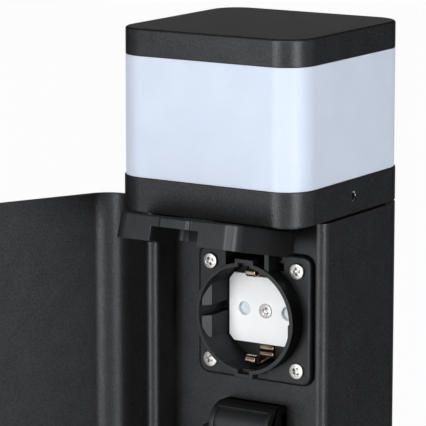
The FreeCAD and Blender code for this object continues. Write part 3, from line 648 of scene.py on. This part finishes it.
def done(piece, body, *nodes, angle=38):
    """Cleans and smooths a finished piece, gives it its finish and puts it in its nodes' place."""
    with editing(piece, "VERT"):
        bpy.ops.mesh.select_all(action="SELECT")
        bpy.ops.mesh.remove_doubles(threshold=SAME)
        bpy.ops.mesh.normals_make_consistent(inside=False)
    bpy.ops.object.shade_smooth_by_angle(angle=math.radians(angle))
    modifier = piece.modifiers.new("even_shading", "WEIGHTED_NORMAL")
    modifier.keep_sharp = True
    modifier.weight = 100
    applied(piece, modifier)
    slot = node_slot[nodes[0]]
    piece.data.materials.clear()
    piece.data.materials.append(finish_of(slot))
    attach(piece, body)
    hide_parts(*nodes)


# Lamp head

def lamp_cap():
    """Cast lid with a soft top edge, hollow below."""
    low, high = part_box("lamp_cap")
    cap = rounded_block("cap_casting", low, high, head_corner)
    round_edges(cap, lies_at(2, high.z), cap_edge, 4)
    round_edges(cap, lies_at(2, low.z), cast_edge, 2)
    with editing(cap, "FACE"):
        pick(cap, "faces", lies_at(2, low.z))
        bpy.ops.mesh.inset(thickness=cap_wall - cast_edge)
        bpy.ops.mesh.extrude_region_move(TRANSFORM_OT_translate={"value": (0, 0, high.z - cap_roof - low.z)})
    done(cap, "column", "lamp_cap")


def opal_tube():
    """Square tube of milky plastic with fused corners."""
    low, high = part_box("diffuser")
    tube = rounded_block("opal_tube", low, high, head_corner)
    with editing(tube, "FACE"):
        pick(tube, "faces", lambda face: lies_at(2, low.z)(face) or lies_at(2, high.z)(face))
        bpy.ops.mesh.delete(type="FACE")
    modifier = tube.modifiers.new("wall", "SOLIDIFY")
    modifier.thickness = opal_wall
    modifier.offset = -1
    modifier.use_even_offset = True
    applied(tube, modifier)
    soften(tube, cut_edge)
    done(tube, "column", "diffuser")


def lamp_collar():
    """Collar under the tube, with a deck inside and a hole for a set screw on each side."""
    low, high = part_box("lamp_base_ring")
    ring = rounded_block("collar_casting", low, high, body_corner)
    round_edges(ring, lies_at(2, high.z), cast_edge, 2)
    round_edges(ring, lies_at(2, low.z), cast_edge, 2)
    with editing(ring, "FACE"):
        pick(ring, "faces", lies_at(2, low.z))
        bpy.ops.mesh.inset(thickness=ring_wall - cast_edge)
        bpy.ops.mesh.extrude_region_move(TRANSFORM_OT_translate={"value": (0, 0, high.z - ring_deck - low.z)})
    middle = (low.z + high.z) / 2
    cut(ring, drum("post_hole", (0, 0, high.z), "z", post_hole, 4 * ring_deck),
        drum("grub_hole", (0, 0, middle), "x", grub_radius, 3 * body_half, 40))
    done(ring, "column", "lamp_base_ring")


def grub_screws():
    """Socket set screws with a broken rim, one on each side of the collar, their hex sockets painted
    near-black as shade.
    """
    low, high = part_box("ring_grub_screws")
    middle = (low.z + high.z) / 2
    screw = drum("grub_right", (high.x - grub_length / 2, 0, middle), "x", grub_radius - grub_play,
                 grub_length, 40)
    cut(screw, drum("hex_socket", (high.x, 0, middle), "x", hex_radius, hex_length, 6))
    soften(screw, grub_edge)
    other = swung(copied(screw, "grub_left"), (0, 0, middle), "Z", 180)
    screws = grouped("set_screws", [screw, other])
    done(screws, "column", "ring_grub_screws")
    # The faces in the hex socket take the near-black rubber finish: painted shade that darkens the hole.
    screws.data.materials.append(finishes["rubber_black"])
    for face in screws.data.polygons:
        if math.hypot(face.center.y, face.center.z - middle) < shaded_socket_reach:
            face.material_index = 1


# Column and cover

def knuckle_places():
    """Middle heights of the cover's three hinge knuckles."""
    column_low, column_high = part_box("column_profile")
    cover_low, cover_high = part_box("front_cover")
    return (cover_low.z + knuckle_inset + knuckle_length / 2,
            (column_low.z + column_high.z) / 2,
            cover_high.z - knuckle_inset - knuckle_length / 2)


def column_walls():
    """Extruded profile: side and back walls, web, front lip and hinge bead."""
    low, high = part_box("column_profile")
    under, over = low.z - SPARE, high.z + SPARE
    height, middle = over - under, (over + under) / 2
    inner_half, inner_back = body_half - side_wall, body_half - back_wall
    inner_corner = body_corner - side_wall
    walls = rounded_block("column_walls", (-body_half, -body_half, under), (body_half, body_half, over),
                          body_corner)
    cut(walls, rounded_block("hollow", (-inner_half, -inner_back, under - SPARE),
                             (inner_half, inner_back, over + SPARE), inner_corner))
    sliced(walls, (0, lip_front, 0), (0, -1, 0))
    cut(walls, block("left_front", (-body_half - SPARE, lip_front - SPARE, under - SPARE),
                     (0, hinge_y, over + SPARE)))
    lip = stands_where(lambda spot: spot.x > body_half - NEAR and spot.y < lip_front + NEAR)
    round_edges(walls, lip, lip_radius, 8)
    web = block("web", (-inner_half - SPARE, web_front, under), (inner_half + SPARE, web_back, over))
    bead = drum("bead", (hinge_x, hinge_y, middle), "z", bead_radius, height, 48)
    joined(walls, web, bead)
    for place in knuckle_places():
        cut(walls, drum("knuckle_room", (hinge_x, hinge_y, place), "z", bead_radius + cover_gap,
                        knuckle_length + 2 * knuckle_gap, 48))
    for z in socket_height.values():
        cut(walls, drum("socket_hole", (0, 0, z), "y", web_hole, 2 * web_room),
            block("hinge_window", (-slot_half, -web_room, z + slot_low),
                  (slot_half, web_room, z + slot_high)))
    sliced(walls, (0, 0, high.z), (0, 0, 1))
    sliced(walls, (0, 0, low.z), (0, 0, -1))
    soften(walls, cut_edge, angle=wall_edge_angle)
    done(walls, "column", "column_profile")


def front_cover():
    """Bent cover with a return on its free side and three hinge knuckles, swung open."""
    low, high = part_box("front_cover")
    under, over = low.z - SPARE, high.z + SPARE
    side_end = lip_front - cover_gap
    cover = rounded_block("bent_cover", (-body_half, -body_half, under), (body_half, body_half, over),
                          body_corner)
    inner = body_half - cover_wall
    cut(cover, rounded_block("hollow", (-inner, -inner, under - SPARE), (inner, inner, over + SPARE),
                             body_corner - cover_wall))
    sliced(cover, (0, hinge_y, 0), (0, 1, 0))
    cut(cover, block("right_back", (0, side_end, under - SPARE), (body_half + SPARE, 0, over + SPARE)))
    flange = block("return", (body_half - cover_return, side_end - cover_wall, under),
                   (body_half - cover_wall / 2, side_end, over))
    lower = socket_height["lower"]
    cut(flange, block("notch", (0, -body_half, lower - return_notch_below),
                      (return_notch_reach, 0, lower + return_notch_above)))
    joined(cover, flange)
    fold = stands_where(lambda spot: spot.x > body_half - NEAR and spot.y > side_end - NEAR)
    round_edges(cover, fold, return_corner, 6)
    middle, length = (under + over) / 2, 2 * (over - under)
    cut(cover, drum("bead_room", (hinge_x, hinge_y, middle), "z", bead_radius + cover_gap, length, 48))
    for place in knuckle_places():
        start, end = place - knuckle_length / 2, place + knuckle_length / 2
        bridge = block("bridge", (-body_half, hinge_y - bead_radius - 2 * cover_gap, start),
                       (-body_half + cover_wall, hinge_y, end))
        knuckle = drum("knuckle", (hinge_x, hinge_y, place), "z", bead_radius, knuckle_length, 48)
        joined(cover, joined(knuckle, bridge))
    cut(cover, drum("rod_bore", (hinge_x, hinge_y, middle), "z", rod_radius, length, 32))
    sliced(cover, (0, 0, high.z), (0, 0, 1))
    sliced(cover, (0, 0, low.z), (0, 0, -1))
    soften(cover, cut_edge, angle=wall_edge_angle)
    swung(cover, (hinge_x, hinge_y, 0), "Z", cover_angle)
    done(cover, "cover", "front_cover")


# Sockets

def guide_rib(side, z, low, high):
    """A rib on the well's wall, with its front bevelled towards the middle."""
    left, right = sorted((side * rib_inner, side * rib_root))
    rib = block("rib", (left, rib_front, z + low), (right, plate_back, z + high))
    sliced(rib, (side * rib_inner, rib_shoulder, z), (-side * rib_slant[0], -rib_slant[1], 0))
    return trimmed(rib, drum("trim", (0, collar_middle, z), "y", rib_root, 2 * collar_depth, 128))


def hinge_ear(side, z):
    """An ear above the collar that holds one end of the lid's pin."""
    left, right = sorted((side * ear_inner, side * ear_outer))
    ear = block("ear", (left, axis_y - ear_radius, z + ear_low), (right, flange_back, z + axis_z))
    sliced(ear, (0, flange_back, z + ear_shoulder), (0, *ear_slant))
    joined(ear, drum("ear_round", ((left + right) / 2, axis_y, z + axis_z), "x", ear_radius,
                     ear_outer - ear_inner, 40))
    return cut(ear, drum("ear_cut", (0, collar_middle, z), "y", rib_root, 2 * collar_depth, 128))


def bezel(level):
    """Moulded face: flange, keyed collar, guide ribs in the well, and hinge ears."""
    z = socket_height[level]
    face = rounded_block(level + "_face", (-flange_half, flange_front, z - flange_half),
                         (flange_half, flange_back, z + flange_half), flange_corner, 1, 8)
    round_edges(face, lies_at(1, flange_front), flange_edge, 4)
    cut(face, block("pocket", (-slot_half, -web_room, z + slot_low), (slot_half, 0, z + flange_half + SPARE)))
    tube = drum("tube", (0, collar_middle, z), "y", collar_radius, collar_depth, 128)
    round_edges(tube, lies_at(1, collar_front), rim_edge, 2)
    keys = block("keys", (-key_half, collar_front, z - key_reach),
                 (key_half, collar_front + key_depth, z + key_reach))
    round_edges(keys, lies_at(1, collar_front), rim_edge, 2)
    joined(face, tube, keys)
    cut(face, drum("well", (0, collar_middle, z), "y", well_radius, 2 * collar_depth, 128))
    cut(face, block("key_ways", (-key_way_half, collar_front - SPARE, z - key_way_reach),
                    (key_way_half, collar_front + key_depth - SPARE, z + key_way_reach)))
    for side in (-1, 1):
        for low, high in rib_spans:
            joined(face, guide_rib(side, z, low, high))
        joined(face, hinge_ear(side, z))
    cut(face, drum("pin_bore", (0, axis_y, z + axis_z), "x", pin_bore_radius, pin_bore_length, 24))
    soften(face, moulded_edge, angle=40)
    done(face, "column", level + "_bezel")


def insert_plate(level):
    """White plate at the bottom of the well, with two pin holes and a notch for the earth clip."""
    z = socket_height[level]
    plate = rounded_block(level + "_white_plate", (-plate_half, plate_front, z + plate_bottom),
                          (plate_half, plate_back, z + plate_top), plate_chamfer, 1, 1)
    middle = (plate_front + plate_back) / 2
    trimmed(plate, drum("round", (0, middle, z), "y", plate_radius, plate_room, 96))
    cut(plate, block("clip_notch", (-plate_notch_half, 0, z + plate_top - plate_notch_depth),
                     (plate_notch_half, plate_room, z + plate_top + SPARE)),
        drum("pin_hole_left", (-pin_place, middle, z), "y", pin_hole_radius, plate_room, 40),
        drum("pin_hole_right", (pin_place, middle, z), "y", pin_hole_radius, plate_room, 40))
    soften(plate, plate_edge)
    done(plate, "column", level + "_insert_plate")


def pan_head(name, x, z, seat, rise, turn, radius, shank, length):
    """Cross-head screw: a domed head with a rounded rim and a tapered cross, on a shank."""
    top = Vector((x, seat - rise, z))

    def on_rim(edge):
        outside = (edge.verts[0].co - top).length > 0.95 * radius
        return lies_at(1, top.y)(edge) and edge.calc_length() > 0.12 * radius and outside

    # Steps towards the middle of the dome: how far in and how far up, as shares of the radius and the rise
    dome = ((0.10, 0.0), (0.22, 0.10), (0.26, 0.06), (0.22, 0.02))
    head = drum(name, (x, seat - rise / 2, z), "y", radius, rise, 48)
    with editing(head, "FACE"):
        pick(head, "faces", lies_at(1, seat - rise))
        for share, step in dome:
            bpy.ops.mesh.inset(thickness=share * radius, depth=step * rise)
    round_edges(head, on_rim, 0.45 * rise, 3)
    deep = min(0.45 * radius, 0.85 * rise)
    arm_half, arm_reach = 0.19 * radius, 0.7 * radius
    arms = []
    for step in range(2):
        arm = block("arm", (-arm_reach, -rise, -arm_half), (arm_reach, deep, arm_half))
        with editing(arm, "FACE"):
            pick(arm, "faces", lies_at(1, deep))
            bpy.ops.transform.resize(value=(0.4, 1, 0.8), center_override=(0, deep, 0))
        swung(arm, (0, 0, 0), "Y", turn + 90 * step)
        arms.append(shifted(arm, (x, seat - rise, z)))
    deep_arms = [copied(arm, "deep_arm") for arm in arms]
    cut(head, *arms)
    stem = drum("shank", (x, seat + length / 2 - shank_overlap, z), "y", shank, length, 24)
    joined(head, cut(stem, *deep_arms))
    soften(head, screw_edge, 1, 45)
    return head


def flange_screws(level, turns):
    """The four screws of a flange, each stopped at its own angle."""
    z = socket_height[level]
    low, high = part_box(level + "_flange_screws")
    rise = flange_front - low.y
    places = [(x, dz) for x in (-screw_place, screw_place) for dz in (-screw_place, screw_place)]
    heads = [pan_head("screw", x, z + dz, flange_front, rise, turn, **face_screw)
             for (x, dz), turn in zip(places, turns)]
    done(grouped(level + "_face_screws", heads), "column", level + "_flange_screws")


def insert_screw(level, turn):
    """The screw in the middle of the white plate."""
    z = socket_height[level]
    low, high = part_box(level + "_insert_screw")
    rise = plate_front - low.y
    head = pan_head(level + "_plate_screw", 0, z, plate_front, rise, turn, **plate_screw)
    done(head, "column", level + "_insert_screw")


def arc(middle, radius, start, end, step=15):
    """Points along an arc, with angles in degrees from outwards towards the back."""
    count = max(1, round(abs(end - start) / step))
    angles = [math.radians(start + (end - start) * k / count) for k in range(count + 1)]
    return [(middle[0] + radius * math.cos(a), middle[1] + radius * math.sin(a)) for a in angles]


def bent_strip(name, path, z, side):
    """Sheet-metal strip along a path of points, each outwards, front to back and width, on one side of z."""
    spots = [Vector((0, back, z + side * out)) for out, back, width in path]
    widths = [width for out, back, width in path]
    first = (spots[0] + spots[1]) / 2
    bpy.ops.object.select_all(action="DESELECT")
    bpy.ops.mesh.primitive_plane_add(size=1, location=first, rotation=(math.pi / 2, 0, 0))
    bpy.context.active_object.scale = (widths[0], abs(spots[1].z - spots[0].z), 1)
    strip = fresh(name)
    with editing(strip):
        pick(strip, "edges", lies_at(2, spots[1].z))
        for step in range(2, len(spots)):
            bpy.ops.mesh.extrude_region_move(TRANSFORM_OT_translate={"value": spots[step] - spots[step - 1]})
            share = widths[step] / widths[step - 1]
            bpy.ops.transform.resize(value=(share, 1, 1), center_override=spots[step])
    modifier = strip.modifiers.new("sheet", "SOLIDIFY")
    modifier.thickness = clip_sheet
    modifier.offset = 0
    modifier.use_even_offset = True
    applied(strip, modifier)
    soften(strip, clip_edge, 2, 50)
    return strip


def earth_clip(level):
    """Sprung bronze contact: a hump of two ripples, a narrow neck and a curled front end, twice."""
    z = socket_height[level]
    low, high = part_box(level + "_earth_clip")
    yoke = high.y - clip_sheet / 2
    wide, narrow, tip = 2 * clip_half, 0.45 * clip_half, 1.4 * clip_half
    path = [(yoke_inner, yoke, wide)]
    path += [(*spot, wide) for spot in arc((hump_root - clip_bend, yoke - clip_bend), clip_bend, 90, 0)]
    for share in (0.25, 0.75):
        middle = (hump_root + share * (hump_foot - hump_root), hump_back)
        path += [(*spot, wide) for spot in arc(middle, hump_radius, 270 - hump_swell, 270 + hump_swell)]
    path += [(neck_place, neck_back, narrow), (neck_place, neck_front, narrow)]
    path += [(*spot, tip) for spot in arc((curl_place, curl_middle), curl_radius, 360, 60)]
    strips = [bent_strip("clip", path, z, side) for side in (-1, 1)]
    done(grouped(level + "_earth_strips", strips), "column", level + "_earth_clip")


# Lids

def sector(name, inner, outer, half, start, end):
    """A slice of a pipe round the lid's axis, with angles up from straight forward."""
    bpy.ops.object.select_all(action="DESELECT")
    bpy.ops.mesh.primitive_plane_add(size=1, location=(0, axis_y - (inner + outer) / 2, axis_z))
    plate = bpy.context.active_object
    plate.scale = (2 * half, outer - inner, 1)
    fresh(name)
    swung(plate, (0, axis_y, axis_z), "X", -start)
    with editing(plate, "FACE"):
        bpy.ops.mesh.select_all(action="SELECT")
        bpy.ops.mesh.spin(steps=round(abs(end - start) / 2), angle=math.radians(end - start),
                          center=(0, axis_y, axis_z), axis=(1, 0, 0))
        bpy.ops.mesh.select_all(action="SELECT")
        bpy.ops.mesh.normals_make_consistent(inside=False)
    return plate


def lid_shell(name):
    """Shell of a lid, hollow behind, with its thumb tab and the neck towards the hinge."""
    lid = rounded_block(name, (-lid_half, lid_front, lid_low), (lid_half, lid_back, lid_high),
                        lid_corner, 1, 10)
    round_edges(lid, lies_at(1, lid_front), lid_face_edge, 3)
    with editing(lid, "FACE"):
        pick(lid, "faces", lies_at(1, lid_back))
        bpy.ops.transform.resize(value=(lid_flare, 1, lid_flare), center_override=(0, lid_back, 0))
    inner = lid_half - lid_wall
    rim = lid_back + SPARE
    cut(lid, rounded_block("inside", (-inner, lid_inner, lid_low + lid_wall),
                           (inner, rim, lid_high - lid_wall), lid_corner - lid_wall, 1, 10),
        block("hinge_room", (-slot_half, lid_inner, 0), (slot_half, rim, lid_high + SPARE)),
        block("screw_room", (-lid_half - SPARE, lid_screw_room, lid_screw_low),
              (lid_half + SPARE, rim, lid_high + SPARE)),
        block("thumb_notch", (-thumb_half, lid_back - thumb_high, lid_low - SPARE),
              (thumb_half, rim, lid_low + 1.2 * lid_wall)))
    tab_low = lid_low - tab_reach
    tab = block("thumb_tab", (-tab_half, lid_front + lid_face_edge, tab_low),
                (tab_half, lid_back - thumb_high, lid_low + lid_wall))
    round_edges(tab, lambda edge: runs_along(1)(edge) and lies_at(2, tab_low)(edge), tab_corner, 5)
    joined(lid, tab)
    return joined(lid, block("neck", (-hood_half, lid_front, lid_neck_low), (hood_half, lid_inner, neck_top)))


def lid_hood():
    """Hood round the lid's hinge: a roof, two arms with heels, and a sunk panel in front."""
    under_roof = axis_z + hood_radius - hood_wall
    roof_top = axis_z + hood_radius - NEAR
    hood = drum("hood", (0, axis_y, axis_z), "x", hood_radius, 2 * hood_half, 180)
    sliced(hood, (0, lid_back, 0), (0, 1, 0))
    cut(hood, drum("hood_hollow", (0, axis_y, axis_z), "x", hood_radius - hood_wall, 2 * hood_room, 120),
        block("open_back", (-hood_room, axis_y, axis_z - 2 * hood_radius), (hood_room, 0, under_roof)),
        block("open_foot", (-hood_room, axis_y - 2 * hood_radius, axis_z - 2 * hood_radius),
              (hood_room, 0, neck_top - hood_wall)))
    joined(hood, block("hood_roof", (-hood_half, axis_y - roof_lap, under_roof),
                       (hood_half, axis_y + hood_roof, roof_top)))
    for side in (-1, 1):
        left, right = sorted((side * hood_room, side * hood_half))
        heel = block("heel", (left, axis_y - roof_lap, axis_z + heel_rise),
                     (right, axis_y + heel_back, roof_top))
        trimmed(heel, drum("heel_round", (0, axis_y, axis_z), "x", heel_radius, 4 * hood_half, 180))
        web = block("arm_web", (left, lid_front, lid_neck_low), (right, axis_y, axis_z))
        cut(web, block("web_cut", (left - SPARE, lid_inner, 0),
                       (right + SPARE, axis_y + SPARE, axis_z - hood_radius)))
        joined(hood, heel, web)
    return cut(hood, sector("panel", hood_radius - hood_panel, hood_radius + SPARE, hood_half - hood_border,
                            panel_start, panel_end))


def socket_lid(level, angle):
    """Sprung lid: its shell and hood as one piece, drawn shut and then swung to its angle."""
    lid = lid_shell(level + "_lid_shell")
    joined(lid, lid_hood())
    cut(lid, drum("pin_bore", (0, axis_y, axis_z), "x", pin_bore_radius, pin_bore_length, 24))
    soften(lid, lid_edge, angle=40, clamp=False)
    swung(lid, (0, axis_y, axis_z), "X", -angle)
    shifted(lid, (0, 0, socket_height[level]))
    done(lid, level + "_lid_body", level + "_lid")


dress_cad_nodes()
lamp_cap()
opal_tube()
lamp_collar()
grub_screws()
column_walls()
front_cover()
for level, turns, lid_angle in (("upper", (20, 65, 38, 80), 103), ("lower", (55, 10, 72, 33), 0)):
    bezel(level)
    insert_plate(level)
    flange_screws(level, turns)
    insert_screw(level, turns[0] + 10)
    earth_clip(level)
    socket_lid(level, lid_angle)


# Camera, light and floor

def look_along(thing, place, direction):
    """Puts a lamp or camera at a place, looking along a direction."""
    thing.location = place
    thing.rotation_mode = "QUATERNION"
    thing.rotation_quaternion = Vector(direction).to_track_quat("-Z", "Y")


def towards(azimuth, elevation):
    """The direction from the bollard to something, with azimuth from the front to the right."""
    turn, rise = math.radians(azimuth), math.radians(elevation)
    return Vector((math.sin(turn) * math.cos(rise), -math.cos(turn) * math.cos(rise), math.sin(rise)))


def add_camera():
    """The photograph's view: from the front right and a little above."""
    data = bpy.data.cameras.new("camera")
    data.sensor_width = camera_film
    data.lens = camera_lens
    camera = bpy.data.objects.new("camera", data)
    bpy.context.scene.collection.objects.link(camera)
    look_along(camera, camera_place, -towards(camera_azimuth, camera_elevation))
    bpy.context.scene.camera = camera


def softbox(name, azimuth, elevation, distance, width, height, power):
    """A rectangular lamp that faces the head of the bollard."""
    data = bpy.data.lights.new(name, "AREA")
    data.shape = "RECTANGLE"
    data.size = width
    data.size_y = height
    data.energy = power
    lamp = bpy.data.objects.new(name, data)
    bpy.context.scene.collection.objects.link(lamp)
    away = towards(azimuth, elevation)
    look_along(lamp, Vector(lit_place) + away * distance, -away)


def merged(tree, how, first, second):
    """Two values put together: the larger one with MAXIMUM, or their product with MULTIPLY."""
    node = tree.nodes.new("ShaderNodeMath")
    node.operation = how
    tree.links.new(first, node.inputs[0])
    tree.links.new(second, node.inputs[1])
    return node.outputs["Value"]


def add_world():
    """White to the eye, a white horizon under a darker room in reflections, soft grey as a light."""
    world = bpy.data.worlds.new("studio")
    world.use_nodes = True
    bpy.context.scene.world = world
    tree = world.node_tree
    sky = tree.nodes["Background"]
    path = tree.nodes.new("ShaderNodeLightPath")
    place = tree.nodes.new("ShaderNodeTexCoord")
    height = tree.nodes.new("ShaderNodeSeparateXYZ")
    tree.links.new(place.outputs["Generated"], height.inputs["Vector"])
    seen = merged(tree, "MAXIMUM", path.outputs["Is Camera Ray"], path.outputs["Is Transmission Ray"])
    room = spread(tree, height.outputs["Z"], 1.0, 0.3, 0.02, 0.14)
    mirrored = merged(tree, "MULTIPLY", path.outputs["Is Glossy Ray"], room)
    lit = spread(tree, path.outputs["Is Glossy Ray"], 0.22, 0.0, 0.0, 1.0)
    unseen = merged(tree, "MAXIMUM", mirrored, lit)
    tree.links.new(merged(tree, "MAXIMUM", seen, unseen), sky.inputs["Strength"])
    sky.inputs["Color"].default_value = (1, 1, 1, 1)


def add_floor():
    """A wide pale floor that shows the bollard's shadow."""
    bpy.ops.object.select_all(action="DESELECT")
    bpy.ops.mesh.primitive_plane_add(size=60, location=(0, 0, 0))
    floor = bpy.context.active_object
    floor.name = "floor"
    material = bpy.data.materials.new("floor_paper")
    material.use_nodes = True
    tree = material.node_tree
    body = tree.nodes["Principled BSDF"]
    body.inputs["Base Color"].default_value = (0.80, 0.80, 0.81, 1)
    body.inputs["Roughness"].default_value = 0.9
    glow = tree.nodes.new("ShaderNodeEmission")
    glow.inputs["Strength"].default_value = 1.0
    blend = tree.nodes.new("ShaderNodeMixShader")
    path = tree.nodes.new("ShaderNodeLightPath")
    seen = merged(tree, "MAXIMUM", path.outputs["Is Camera Ray"], path.outputs["Is Transmission Ray"])
    mirrored = spread(tree, path.outputs["Is Glossy Ray"], 0.0, 0.7, 0.0, 1.0)
    share = merged(tree, "MAXIMUM", spread(tree, seen, 0.0, 0.97, 0.0, 1.0), mirrored)
    tree.links.new(share, blend.inputs["Fac"])
    tree.links.new(body.outputs["BSDF"], blend.inputs[1])
    tree.links.new(glow.outputs["Emission"], blend.inputs[2])
    tree.links.new(blend.outputs["Shader"], tree.nodes["Material Output"].inputs["Surface"])
    floor.data.materials.append(material)


add_camera()
add_world()
add_floor()
softbox("front_box", azimuth=-10, elevation=9, distance=1.3, width=0.4, height=1.1, power=11)
softbox("side_box", azimuth=64, elevation=9, distance=1.3, width=0.38, height=1.1, power=12.5)
softbox("fill_box", azimuth=25, elevation=24, distance=1.5, width=0.8, height=0.6, power=8)
bpy.context.scene.view_settings.view_transform = "Standard"
